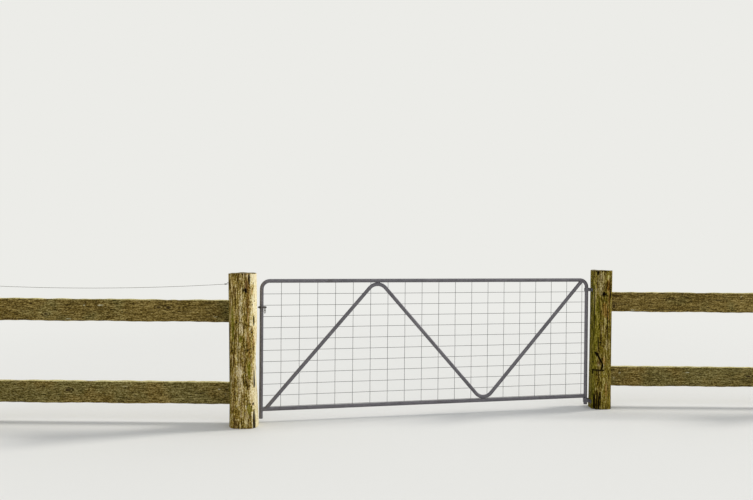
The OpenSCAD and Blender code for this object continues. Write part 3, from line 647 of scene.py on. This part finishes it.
def worn_plank(node, seed):
    """A plank in the place of its node: a rounded section swept along it, with splits at its ends."""
    rng = np.random.default_rng(seed)
    low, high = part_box(node)
    length, thick, tall = high - low
    section = plank_section(thick, tall)
    near_ends = [END_WORN / 3, END_WORN, length - END_WORN, length - END_WORN / 3]
    rows = np.unique(np.concatenate([np.linspace(0, length, BOARD_ROWS), near_ends]))
    along = rows[:, None]
    y, z = section[:, 0][None, :] + 0 * along, section[:, 1][None, :] + 0 * along

    # Bends along the plank, chips in its top edge, and waves in both edges
    slow = SLOW_BEND * np.sin(along * rng.uniform(1, 2) + rng.uniform(0, 6))
    sway = slow + QUICK_BEND * np.sin(along * rng.uniform(5, 9) + rng.uniform(0, 6))
    chips = sum(
        CHIP_DEEP * np.exp(-(((along - rng.uniform(0, length)) / rng.uniform(0.02, 0.08)) ** 2)) for _ in range(CHIPS)
    )
    edge = np.clip((z - tall * WORN_FROM) / (tall * WORN_SHARE), 0, 1)
    z = z - edge * (chips + UPPER_WAVE * (1 + np.sin(along * 31 + seed))) + sway * (z / tall)
    under = np.clip(1 - z / (tall * WORN_SHARE), 0, 1)
    z = z + under * UNDER_WAVE * (1 + np.sin(along * 9 + seed) + 0.5 * np.sin(along * 43 + seed))

    split = np.zeros_like(z)
    for _ in range(END_SPLITS):
        level = rng.uniform(0.15, 0.85) * tall
        at_end = rng.integers(0, 2)
        reach = rng.uniform(0.08, 0.45)
        inward = along if at_end == 0 else length - along
        across = (z - level - SPLIT_STRAY * np.sin(along * 9)) / SPLIT_HALF
        split = np.maximum(split, np.exp(-(across**2)) * np.clip(1 - inward / reach, 0, 1) ** 0.5)
    front = y < thick / 2
    y = y + np.where(front, 1, -1) * SPLIT_DEEP * split

    # What the finish reads at each point
    # top marks where the top edge's painted highlight lies
    top = np.clip((z - (tall - HIGHLIGHT_DEEP)) / HIGHLIGHT_FADE, 0, 1)
    painted = {"split": split, "top": top, "low": np.full_like(z, float("lower" in node))}
    x_there, z_there = along + low[0], z + low[2]
    for kind in ("knot", "lichen"):
        painted[kind] = np.zeros_like(z)
        for at, level, half_wide, half_high in BOARD_MARKS[node][kind]:
            spot = np.exp(-(((x_there - at) / half_wide) ** 2 + ((z_there - level) / half_high) ** 2))
            painted[kind] = np.maximum(painted[kind], np.where(front, spot, 0))
    painted["rust"] = np.zeros_like(z)
    for at, level in NAILS_AT[node]:
        below = np.clip((level - z_there) / STREAK_LONG, 0, 1)
        streak = np.exp(-(((x_there - at) / (STREAK_HALF + STREAK_HALF * below)) ** 2))
        streak = streak * np.where(z_there > level + STREAK_HALF, 0, 1 - below)
        painted["rust"] = np.maximum(painted["rust"], np.where(front, 0, streak))

    # The sawn ends, worn a little smaller
    ends = np.clip(1 - np.minimum(along, length - along) / END_WORN, 0, 1) ** 2
    y = y + (thick / 2 - y) * ends * END_THINNER
    z = z + (tall / 2 - z) * ends * END_LOWER
    points = np.stack([along + 0 * y, y, z], -1).reshape(-1, 3) + np.array(low)
    sides = len(section)
    faces = tube_faces(len(rows), sides)
    faces.append(tuple(reversed(range(sides))))
    faces.append(tuple((len(rows) - 1) * sides + i for i in range(sides)))
    faces = [tuple(reversed(f)) for f in faces]
    values = {key: value.ravel() for key, value in painted.items()}
    board = solid(node.replace("_board", "_plank"), points, faces, plank_timber, **values)
    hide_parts(node)
    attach(board, "fence")


for seed, node in enumerate(BOARD_MARKS, 3):
    worn_plank(node, seed)

# Board nails
# Round-headed steel nails, two at each crossing of board and post, driven from the far side. Their zinc
# has gone and the heads have rusted, with a brown streak in the timber below each one.


class Pattern(Steps):
    """Lays out pieces that repeat, or sweeps a wire along a path, with sizes that are set by name."""

    def __init__(self, name, **sizes):
        self.tree = bpy.data.node_groups.new(name, "GeometryNodeTree")
        self.tree.interface.new_socket("Geometry", in_out="INPUT", socket_type="NodeSocketGeometry")
        self.tree.interface.new_socket("Geometry", in_out="OUTPUT", socket_type="NodeSocketGeometry")
        self.sizes = {}
        for key, value in sizes.items():
            socket = self.tree.interface.new_socket(key, in_out="INPUT", socket_type="NodeSocketFloat")
            socket.default_value = value
            self.sizes[key] = socket.identifier
        self.given = self.tree.nodes.new("NodeGroupInput")
        self.start = Number(self, self.given.outputs["Geometry"])

    def size(self, name):
        return Number(self, self.given.outputs[name])

    def turned(self, shape, move=(0, 0, 0), turn=(0, 0, 0)):
        return self.node("GeometryNodeTransform", {}, {"Geometry": shape, "Translation": move, "Rotation": turn})

    def joined(self, *shapes):
        return self.node("GeometryNodeJoinGeometry", {}, {"Geometry": shapes})

    def bar(self, sides, radius, depth):
        """A solid round or hexagonal bar, half of it on either side of the origin."""
        sizes = {"Vertices": sides, "Radius": radius, "Depth": depth}
        return self.node("GeometryNodeMeshCylinder", {"fill_type": "NGON"}, sizes)

    def cap(self, sides, radius, top, depth):
        """A bar that narrows upwards from the origin."""
        sizes = {"Vertices": sides, "Radius Top": top, "Radius Bottom": radius, "Depth": depth}
        return self.node("GeometryNodeMeshCone", {"fill_type": "NGON"}, sizes)

    def placed(self, shape, varied, least, most, seed):
        """The shape at every starting point, each with a Rotation or Scale of its own between two limits."""
        limits = {0: least, 1: most, "Seed": seed}
        own = self.node("FunctionNodeRandomValue", {"data_type": "FLOAT_VECTOR"}, limits)
        return self.node("GeometryNodeInstanceOnPoints", {}, {"Points": self.start, "Instance": shape, varied: own})

    def finished(self, shape, material):
        smooth = self.node("GeometryNodeSetShadeSmooth", {}, {"Geometry": shape, "Shade Smooth": True})
        real = self.node("GeometryNodeRealizeInstances", {}, {"Geometry": smooth})
        done = self.node("GeometryNodeSetMaterial", {}, {"Geometry": real, "Material": material})
        self.tree.links.new(done.socket, self.tree.nodes.new("NodeGroupOutput").inputs["Geometry"])
        return self

    def made(self, name, start, body, slot, replacing=(), **sizes):
        """The pattern, followed from a starting mesh, as one plain mesh that moves with a body."""
        seed = bpy.data.objects.new(name + "_start", start)
        bpy.context.scene.collection.objects.link(seed)
        modifier = seed.modifiers.new("pattern", "NODES")
        modifier.node_group = self.tree
        for key, value in sizes.items():
            modifier[self.sizes[key]] = value
        grown = seed.evaluated_get(bpy.context.evaluated_depsgraph_get())
        piece = bpy.data.objects.new(name, bpy.data.meshes.new_from_object(grown))
        bpy.data.objects.remove(seed)
        bpy.context.scene.collection.objects.link(piece)
        if replacing:
            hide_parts(*replacing)
        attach(piece, body)


def lines(name, paths, closed=False):
    """A mesh of open or closed lines, or of lone points, for a pattern to start from."""
    points, edges = [], []
    for path in paths:
        first = len(points)
        points += [tuple(map(float, p)) for p in path]
        edges += [(first + i, first + i + 1) for i in range(len(path) - 1)]
        if closed:
            edges.append((len(points) - 1, first))
    mesh = bpy.data.meshes.new(name)
    mesh.from_pydata(points, edges, [])
    return mesh


GRIME = paint(74, 66, 52)
BLOOM_SHADES = (0.35, paint(70, 38, 20)), (0.65, paint(132, 80, 44))


def zinc(name, light, dark, roughness, metallic=0.35, rusty=0.0):
    """Zinc-dipped steel: dull grey, with a faint crystal pattern, darker runs and a little dirt."""
    steel = Finish(name, roughness=roughness, metallic=metallic)
    cells = {"Vector": steel.place, "Scale": 90.0, "Randomness": 1.0}
    crystals = steel.node("ShaderNodeTexVoronoi", {"feature": "F1"}, cells, out="Color")
    facet = steel.node("ShaderNodeSeparateColor", {}, {"Color": crystals}, out=0)
    speck = steel.noise(260, detail=3)
    tone = steel.noise(7, detail=6) * 0.5 + facet * 0.22 + speck * 0.28
    grime = steel.step(steel.noise(14, (1, 1, 0.35), detail=7, rough=0.65), 0.56, 0.78)
    colour = steel.mix(grime * 0.45, steel.ramp(tone, (0.3, dark), (0.7, light)), GRIME)
    if rusty:
        bloom = steel.step(steel.noise(120, detail=6, rough=0.7) + rusty - 0.5, 0.42, 0.62)
        colour = steel.mix(bloom * 0.8, colour, steel.ramp(speck, *BLOOM_SHADES))
    rough = (facet * 0.12 + grime * 0.22 + (roughness - 0.06)).clip()
    return steel.wear(colour, rough, bump=facet * 0.25 + speck * 0.5, depth=0.0003)


HEAD_THICK, CROWN_HIGH, SHANK_LONG = 0.0016, 0.0009, 0.014
# How far a head's middle stands from the board
HEAD_PROUD = 0.0004

nail_steel = zinc("rusty_nail", paint(104, 92, 80), paint(62, 52, 44), 0.7, rusty=0.55)
nailing = Pattern("board_nails", Head=0.005)
head = nailing.size("Head")
disc = nailing.bar(14, head, HEAD_THICK)
crown = nailing.cap(14, head, head * 0.5, CROWN_HIGH)
shank = nailing.bar(10, head * 0.42, SHANK_LONG)
nail = nailing.joined(
    disc, nailing.turned(crown, (0, 0, HEAD_THICK / 2)), nailing.turned(shank, (0, 0, -SHANK_LONG / 2)),
)
nail = nailing.turned(nail, turn=(-math.pi / 2, 0, 0))
nails = nailing.placed(nail, "Rotation", (-0.12, -1.5, -0.12), (0.12, 1.5, 0.12), seed=5)
nailing.finished(nails, nail_steel)
heads_at = [[(x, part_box(node)[1][1] + HEAD_PROUD, z)] for node, places in NAILS_AT.items() for x, z in places]
nailing.made("board_nails", lines("nail_places", heads_at), "fence", "plain_wire")

# Strand wire
# One plain wire over the latch side's boards. Each end goes round a staple in the side of its post,
# back through its own eye and five times round itself, and the wire sags a little between the posts.

STRAND_R, STRAND_SAG = 0.0016, 0.031
# How far past its eyes the strand's free run starts, and the points along it
RUN_FROM, RUN_POINTS = 0.012, 60
# The eye in each end: its middle's distance from the post, and its radius
EYE_OUT, EYE_R = 0.011, 0.007
# The turns of the tail round the strand: their number, steps, radius and pitch, and their distance from the eye
WRAPS, WRAP_STEPS, WRAP_R, WRAP_PITCH, WRAP_GAP = 5, 10, 0.0034, 0.0037, 0.006
# A staple's wire, half its width, the radius of its bends, and how deep it stands in the post
STAPLE_R, STAPLE_HALF, STAPLE_BEND, STAPLE_DEEP = 0.0019, 0.007, 0.003, 0.02
WIRE_SIDES = 8


def sweeping(name, material):
    """A pattern that makes round wire or a lumpy bead of weld along the lines it is given."""
    sweep = Pattern(name, Radius=0.002, Lumps=0.0)
    path = sweep.node("GeometryNodeMeshToCurve", {}, {"Mesh": sweep.start})
    circle = {"Resolution": WIRE_SIDES, "Radius": sweep.size("Radius")}
    ring = sweep.node("GeometryNodeCurvePrimitiveCircle", {"mode": "RADIUS"}, circle)
    wire = sweep.node("GeometryNodeCurveToMesh", {}, {"Curve": path, "Profile Curve": ring, "Fill Caps": True})
    lumps = (sweep.node("ShaderNodeTexNoise", {}, {"Scale": 260.0, "Detail": 2.0}) - 0.5) * sweep.size("Lumps")
    outward = sweep.node("GeometryNodeInputNormal")
    offset = sweep.node("ShaderNodeVectorMath", {"operation": "SCALE"}, {0: outward, "Scale": lumps})
    wire = sweep.node("GeometryNodeSetPosition", {}, {"Geometry": wire, "Offset": offset})
    return sweep.finished(wire, material)


old_wire = zinc("old_fence_wire", paint(104, 98, 86), paint(64, 59, 50), 0.6, rusty=0.3)
strand_low, strand_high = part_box("strand_wire")
strand_y = (strand_low[1] + strand_high[1]) / 2
# The face of each post where the strand is tied, and its height there
STRAND_ENDS = {"left": (strand_low[0], 1.196), "right": (strand_high[0], 1.225)}


def strand_height(x):
    (xa, za), (xb, zb) = STRAND_ENDS["left"], STRAND_ENDS["right"]
    s = (x - xa) / (xb - xa)
    return za + (zb - za) * s - 4 * STRAND_SAG * s * (1 - s)


def tied_end(face_x, out):
    """From the tail's tip: round the strand, up over the eye and down to the strand. out is away from the post."""
    eye_x = face_x + out * EYE_OUT
    wrap_x = eye_x + out * (EYE_R + WRAP_GAP)
    path = []
    for k in range(WRAPS * WRAP_STEPS + 1):
        turn = 2 * math.pi * k / WRAP_STEPS
        x = wrap_x + out * WRAP_PITCH * (WRAPS - k / WRAP_STEPS)
        path.append((x, strand_y + WRAP_R * math.sin(turn), strand_height(x) + WRAP_R * math.cos(turn)))
    for degrees in range(150, -91, -20):
        turn = math.radians(degrees)
        up = strand_height(eye_x) + EYE_R * (1 + math.sin(turn))
        path.append((eye_x - out * EYE_R * math.cos(turn), strand_y, up))
    return path


def staple(face_x, out):
    """A staple's wire, from one point in the post over its crown to the other point."""
    crown_x = face_x + out * (EYE_OUT - EYE_R + 2 * STRAND_R)
    z = strand_height(face_x + out * EYE_OUT) + EYE_R
    legs = [
        (face_x - out * STAPLE_DEEP, -STAPLE_HALF), (crown_x - out * STAPLE_BEND, -STAPLE_HALF),
        (crown_x - out * 0.001, -0.0062), (crown_x, STAPLE_BEND - STAPLE_HALF),
    ]
    return [(x, strand_y + s, z) for x, s in legs] + [(x, strand_y - s, z) for x, s in reversed(legs)]


left_tie, right_tie = tied_end(strand_low[0], 1), tied_end(strand_high[0], -1)
run_x = np.linspace(left_tie[-1][0] + RUN_FROM, right_tie[-1][0] - RUN_FROM, RUN_POINTS)
strand_path = left_tie + [(x, strand_y, strand_height(x)) for x in run_x] + right_tie[::-1]
strand_sweep = sweeping("plain_wire", old_wire)
strand_sweep.made(
    "strand", lines("strand_path", [strand_path]), "fence", "plain_wire", ["strand_wire"], Radius=STRAND_R
)
staple_paths = [staple(strand_low[0], 1), staple(strand_high[0], -1)]
strand_sweep.made("strand_staples", lines("staple_paths", staple_paths), "fence", "plain_wire", Radius=STAPLE_R)

# Hinges
# Two straps of flat steel bent round the hinge upright, each held to the post's flat side by two coach
# screws with hexagonal heads. A collar on the upright stands on the lower strap and carries the leaf.

strap_zinc = zinc("galvanised_strap", paint(122, 120, 124), paint(88, 87, 92), 0.48, rusty=0.12)


def wear_on(node, material):
    """Gives a solid from the source its finish."""
    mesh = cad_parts[node].data
    mesh.materials.clear()
    mesh.materials.append(material)


for strap in ("upper_hinge_strap", "lower_hinge_strap", "hinge_collar"):
    wear_on(strap, strap_zinc)

WASHER_THICK, HEX_THICK, CHAMFER_HIGH = 0.0014, 0.0042, 0.0009
SCREW_R, SCREW_LONG = 0.0045, 0.066
# The outer face of the straps' feet, how far their holes lie from the upright's middle, and the straps' heights
FOOT_FACE, HOLE_OUT, STRAP_LEVELS = -0.0996, 0.03845, (1.152, 0.066)

screw_zinc = zinc("coach_screw", paint(116, 112, 108), paint(76, 72, 70), 0.5, rusty=0.35)
screwing = Pattern("coach_screws", Corner=0.0078)
corner = screwing.size("Corner")
hexagon = screwing.bar(6, corner, HEX_THICK)
chamfer = screwing.cap(6, corner, corner * 0.8, CHAMFER_HIGH)
washer = screwing.bar(24, corner * 1.22, WASHER_THICK)
shaft = screwing.bar(16, SCREW_R, SCREW_LONG)
screw = screwing.joined(
    screwing.turned(washer, (0, 0, WASHER_THICK / 2)),
    screwing.turned(hexagon, (0, 0, WASHER_THICK + HEX_THICK / 2)),
    screwing.turned(chamfer, (0, 0, WASHER_THICK + HEX_THICK)),
    screwing.turned(shaft, (0, 0, -SCREW_LONG / 2)),
)
screw = screwing.turned(screw, turn=(0, -math.pi / 2, 0))
screws = screwing.placed(screw, "Rotation", (-0.5, 0, 0), (0.5, 0, 0), seed=8)
screwing.finished(screws, screw_zinc)
screw_places = [[(FOOT_FACE, side * HOLE_OUT, z)] for z in STRAP_LEVELS for side in (-1, 1)]
screw_nodes = ["upper_hinge_screws", "lower_hinge_screws"]
screwing.made("coach_screws", lines("screw_places", screw_places), "fence", "hinge_steel", screw_nodes)

# Leaf frame
# One bent tube for both uprights and the top rail, a straight bottom rail and an N brace of the same
# tube. Beads of weld run round each joint, and the whole frame was dipped in zinc afterwards.

tube_zinc = zinc("galvanised_tube", paint(122, 119, 124), paint(90, 88, 93), 0.5)
for tube in ("frame_hoop", "bottom_rail", "n_brace"):
    wear_on(tube, tube_zinc)

# The hinge upright's place, and the leaf's angle to the fences
HINGE_AXIS, SKEW = -0.13635, math.radians(12.27)
SPAN = 3.1393
TUBE_R, CORNER_R = 0.01685, 0.072
RAIL_Z, TOP_Z = 0.10985, 1.24615
# Where the brace's middle line ends at the lower latch corner and the upper hinge corner, and its way from there
BRACE_FOOT, FOOT_SLOPE = (-SPAN + 0.038, RAIL_Z), math.radians(48.844)
BRACE_HEAD, HEAD_SLOPE = (-0.044, TOP_Z), math.radians(180 + 48.744)
BEAD_R, BEAD_STEPS, LUMPS = 0.0024, 44, 0.0022
# How far from the brace's end the search for the frame's surface starts, and its step
MARCH_FROM, MARCH_STEP = 0.25, 0.0005
COLLAR_BEAD_R, COLLAR_BEAD_Z = 0.0182, 0.0893
# The beads along the brace's bends: their radius, their lumps, and how far each lies from the middle
BEND_BEAD_R, BEND_LUMPS, BEND_BEAD_Y = 0.0032, 0.0024, 0.0062
# Their steps to each side of the bend, and a step's length
BEND_STEPS, BEND_STEP = 12, 0.002
# Where each bend touches a rail, and how far the ends of its beads sink into it
BENDS = ((-2.0923, TOP_Z - TUBE_R, 0.0045), (-1.0563, RAIL_Z + TUBE_R, -0.0045))


def on_leaf(x, y, z):
    """A place on the leaf, measured from the hinge upright's axis, x towards the latch being negative."""
    return (HINGE_AXIS + x * math.cos(SKEW) - y * math.sin(SKEW), x * math.sin(SKEW) + y * math.cos(SKEW), z)


def frame_distance(x, y, z):
    """From a point of the leaf to the nearest centre line of the hoop or the bottom rail."""
    corner_at = TOP_Z - CORNER_R
    if x < -CORNER_R:
        hoop = math.hypot(z - TOP_Z, y)
    elif z < corner_at:
        hoop = math.hypot(x, y)
    else:
        hoop = math.hypot(math.hypot(x + CORNER_R, z - corner_at) - CORNER_R, y)
    return min(hoop, math.hypot(x + SPAN, y), math.hypot(z - RAIL_Z, y))


def on_brace(at, slope, s, lift):
    """A place on the brace: s along it from its end, and lift above its middle line."""
    return at[0] + s * math.cos(slope) - lift * math.sin(slope), at[1] + s * math.sin(slope) + lift * math.cos(slope)


def brace_end_bead(at, slope):
    """Where the brace's surface meets the frame, marching from the open brace towards its end."""
    path = []
    for k in range(BEAD_STEPS):
        turn = 2 * math.pi * k / BEAD_STEPS
        lift, y = TUBE_R * math.cos(turn), TUBE_R * math.sin(turn)
        s = MARCH_FROM
        x, z = on_brace(at, slope, s, lift)
        while s > 0 and frame_distance(x, y, z) > TUBE_R:
            s -= MARCH_STEP
            x, z = on_brace(at, slope, s, lift)
        path.append(on_leaf(x, y, z))
    return path


def saddle(x, side):
    """Where the bottom rail's surface meets an upright."""
    path = []
    for k in range(BEAD_STEPS):
        turn = 2 * math.pi * k / BEAD_STEPS
        lift, y = TUBE_R * math.cos(turn), TUBE_R * math.sin(turn)
        path.append(on_leaf(x + side * abs(lift), y, RAIL_Z + lift))
    return path


collar_turns = [k * math.pi / 20 for k in range(40)]
joints = [
    saddle(-SPAN, 1), saddle(0, -1), brace_end_bead(BRACE_FOOT, FOOT_SLOPE), brace_end_bead(BRACE_HEAD, HEAD_SLOPE),
    [on_leaf(COLLAR_BEAD_R * math.cos(t), COLLAR_BEAD_R * math.sin(t), COLLAR_BEAD_Z) for t in collar_turns],
]
weld_zinc = zinc("galvanised_weld", paint(128, 125, 130), paint(84, 82, 86), 0.6)
bead = sweeping("weld_bead", weld_zinc)
bead.made(
    "joint_welds", lines("joint_paths", joints, closed=True), "leaf", "galvanised_tube", Radius=BEAD_R, Lumps=LUMPS
)
steps = range(-BEND_STEPS, BEND_STEPS + 1)
touches = [
    [on_leaf(x + BEND_STEP * k, side * BEND_BEAD_Y, z + sink * (k / BEND_STEPS) ** 4) for k in steps]
    for x, z, sink in BENDS for side in (-1, 1)
]
bead.made(
    "brace_bend_welds", lines("bend_paths", touches), "leaf", "galvanised_tube", Radius=BEND_BEAD_R, Lumps=BEND_LUMPS
)

# Wire mesh
# Welded mesh on the back of the frame: level wires against the tubes, upright wires behind them, a small
# nugget at each crossing, and a tack where a level wire crosses an upright tube.

WIRE_R, WIRE_GAP = 0.002, 0.0003
WIRE_Y = TUBE_R + WIRE_GAP + WIRE_R
# How far the upright wires' middles lie behind those of the level wires, a little pressed into them
LAYER = 0.0032
ROWS, ROW_GAP = 12, 0.1002818
COLUMNS, COLUMN_GAP = 20, 0.16265
FIRST_ROW, FIRST_COLUMN = RAIL_Z + 0.0166, -SPAN + 0.0124
# How far a wire goes past the last one that it crosses
TAIL = 0.005
# How wavy the wires are, and the points along each
ROW_WAVE, ROW_POINTS, COLUMN_WAVE, COLUMN_POINTS = 0.0009, 70, 0.0007, 28
# How far a tack's middle lies from the surface of its tube
TACK_OUT = 0.0008

wire_rng = np.random.default_rng(21)
wire_zinc = zinc("galvanised_wire", paint(118, 118, 118), paint(88, 88, 88), 0.5)


def wavy(length, count, height):
    """Small bends that handling has left in a wire, none at its ends."""
    s = np.linspace(0, 1, count)
    wave = sum(height / k * np.sin(2 * math.pi * k * s + wire_rng.uniform(0, 6.3)) for k in (2, 3, 5, 7))
    return s * length, wave * np.sin(math.pi * s)


def row_inset(z):
    """How far inside an upright's centre line a level wire meets the hoop, more at its bent corners."""
    up = max(z - (TOP_Z - CORNER_R), 0)
    return CORNER_R - math.sqrt(CORNER_R**2 - up**2)


def column_top(x):
    """How high an upright wire may go before it leaves the hoop."""
    side = max(CORNER_R - min(x + SPAN, -x), 0)
    return TOP_Z - CORNER_R + math.sqrt(CORNER_R**2 - side**2)


wire_paths = []
row_levels = [FIRST_ROW + row * ROW_GAP for row in range(ROWS)]
column_places = [FIRST_COLUMN + column * COLUMN_GAP for column in range(COLUMNS)]
for z in row_levels:
    inset = row_inset(z) - TAIL
    along, wave = wavy(SPAN - 2 * inset, ROW_POINTS, ROW_WAVE)
    wire_paths.append([on_leaf(-SPAN + inset + a, WIRE_Y, z + w) for a, w in zip(along, wave)])
for x in column_places:
    top = min(row_levels[-1], column_top(x)) + TAIL
    along, wave = wavy(top - FIRST_ROW + TAIL, COLUMN_POINTS, COLUMN_WAVE)
    wire_paths.append([on_leaf(x + w, WIRE_Y + LAYER, FIRST_ROW - TAIL + a) for a, w in zip(along, wave)])
mesh_sweep = sweeping("mesh_wire", wire_zinc)
mesh_sweep.made("mesh_wires", lines("wire_paths", wire_paths), "leaf", "mesh_wire", ["wire_mesh"], Radius=WIRE_R)

nuggets = Pattern("mesh_nuggets", Size=0.0026)
drop = nuggets.node("GeometryNodeMeshIcoSphere", {}, {"Radius": nuggets.size("Size"), "Subdivisions": 2})
drops = nuggets.placed(drop, "Scale", (0.8, 0.75, 0.8), (1.15, 0.95, 1.15), seed=3)
nuggets.finished(drops, weld_zinc)
crossings = [[on_leaf(x, WIRE_Y + LAYER / 2, z)] for z in row_levels for x in column_places if z < column_top(x)]
nuggets.made("mesh_nuggets", lines("crossings", crossings), "leaf", "mesh_wire")
tacks = [[on_leaf(x, TUBE_R + TACK_OUT, z)] for z in row_levels for x in (-SPAN + row_inset(z), -row_inset(z))]
nuggets.made("mesh_tacks", lines("tacks", tacks), "leaf", "mesh_wire", Size=0.0036)

# Chain
# Short-link chain round the latch upright, with one end hanging behind and one in front. The hook that
# takes it is a bent bar driven into the back of the latch post. All of it is zinc-dipped and a little rusty.

chain_zinc = zinc("worn_chain", paint(112, 108, 104), paint(62, 58, 56), 0.42, metallic=0.6, rusty=0.3)
for piece in ("chain_loop", "chain_tail", "chain_keeper"):
    wear_on(piece, chain_zinc)

# Floor, light and view
# A plain pale floor that fades into a backdrop of its own shade, one soft sun from the right and a little
# behind the gate, and an even pale light from all round.

CAMERA_AT = Vector((-2.19375, -6.8433, 1.5864))
PITCH, ROLL = math.radians(0.546), math.radians(0.490)
# The focal length and the picture's width in pixels, and the sensor's width in millimetres
FOCAL, PICTURE_WIDE, SENSOR_WIDE = 700, 753, 36

camera = bpy.data.objects.new("camera", bpy.data.cameras.new("camera"))
bpy.context.scene.collection.objects.link(camera)
camera.data.lens = FOCAL / PICTURE_WIDE * SENSOR_WIDE
camera.data.sensor_width = SENSOR_WIDE
camera.data.sensor_fit = "HORIZONTAL"
camera.data.clip_end = 200
tilted = Matrix.Rotation(math.radians(90) - PITCH, 4, "X") @ Matrix.Rotation(ROLL, 4, "Z")
camera.matrix_world = Matrix.Translation(CAMERA_AT) @ tilted
bpy.context.scene.camera = camera

BACKDROP, FLOOR = paint(236, 236, 232), paint(225, 225, 221)
FLOOR_HALF = 60
# The floor fades into the backdrop between these distances from its middle
FADE_MIDDLE, FADE_FROM, FADE_TO = (-1.6, -0.5, 0.0), 5.0, 11.0

floor = Finish("floor_pale", roughness=0.95)
floor.shader.inputs["Base Color"].default_value = FLOOR
glow = floor.node("ShaderNodeEmission", {}, {"Color": BACKDROP, "Strength": 1.0}, out="Emission")
away = floor.node("ShaderNodeVectorMath", {"operation": "DISTANCE"}, {0: floor.place, 1: FADE_MIDDLE}, out="Value")
faded = floor.step(away, FADE_FROM, FADE_TO)
blend = floor.node("ShaderNodeMixShader", {}, {0: faded, 1: Number(floor, floor.shader.outputs[0]), 2: glow})
floor.tree.links.new(blend.socket, floor.tree.nodes["Material Output"].inputs["Surface"])
corners = [(x * FLOOR_HALF, y * FLOOR_HALF, 0) for x, y in ((-1, -1), (1, -1), (1, 1), (-1, 1))]
solid("floor", corners, [(0, 1, 2, 3)], floor.material)

PALE_LIGHT, PALE_STRENGTH = paint(246, 248, 252), 0.72
world = bpy.data.worlds.new("studio")
bpy.context.scene.world = world
world.use_nodes = True
# The camera sees the backdrop's shade and metal mirrors it, and the pale light does the lighting
around = Steps()
around.tree = world.node_tree
seen = around.tree.nodes["Background"]
seen.inputs["Color"].default_value = BACKDROP
light = around.node("ShaderNodeBackground", {}, {"Color": PALE_LIGHT, "Strength": PALE_STRENGTH})
rays = [around.node("ShaderNodeLightPath", out=f"Is {kind} Ray") for kind in ("Camera", "Glossy", "Transmission")]
shown = (rays[0] + rays[1] + rays[2]).clip()
choice = around.node("ShaderNodeMixShader", {}, {0: shown, 1: light, 2: Number(around, seen.outputs[0])})
around.tree.links.new(choice.socket, around.tree.nodes["World Output"].inputs["Surface"])

SUN, SUN_STRENGTH, SUN_SOFT = (1.0, 0.97, 0.92), 2.1, math.radians(12)
SUN_TURN, SUN_HEIGHT, SUN_FAR = math.radians(18), math.radians(36), 8
level = math.cos(SUN_HEIGHT)
sun_from = Vector((level * math.cos(SUN_TURN), level * math.sin(SUN_TURN), math.sin(SUN_HEIGHT)))
lamp = bpy.data.lights.new("sun", "SUN")
lamp.energy = SUN_STRENGTH
lamp.angle = SUN_SOFT
lamp.color = SUN
sun = bpy.data.objects.new("sun", lamp)
bpy.context.scene.collection.objects.link(sun)
sun.matrix_world = Matrix.Translation(sun_from * SUN_FAR) @ sun_from.to_track_quat("Z", "Y").to_matrix().to_4x4()

bpy.context.scene.view_settings.view_transform = "Standard"
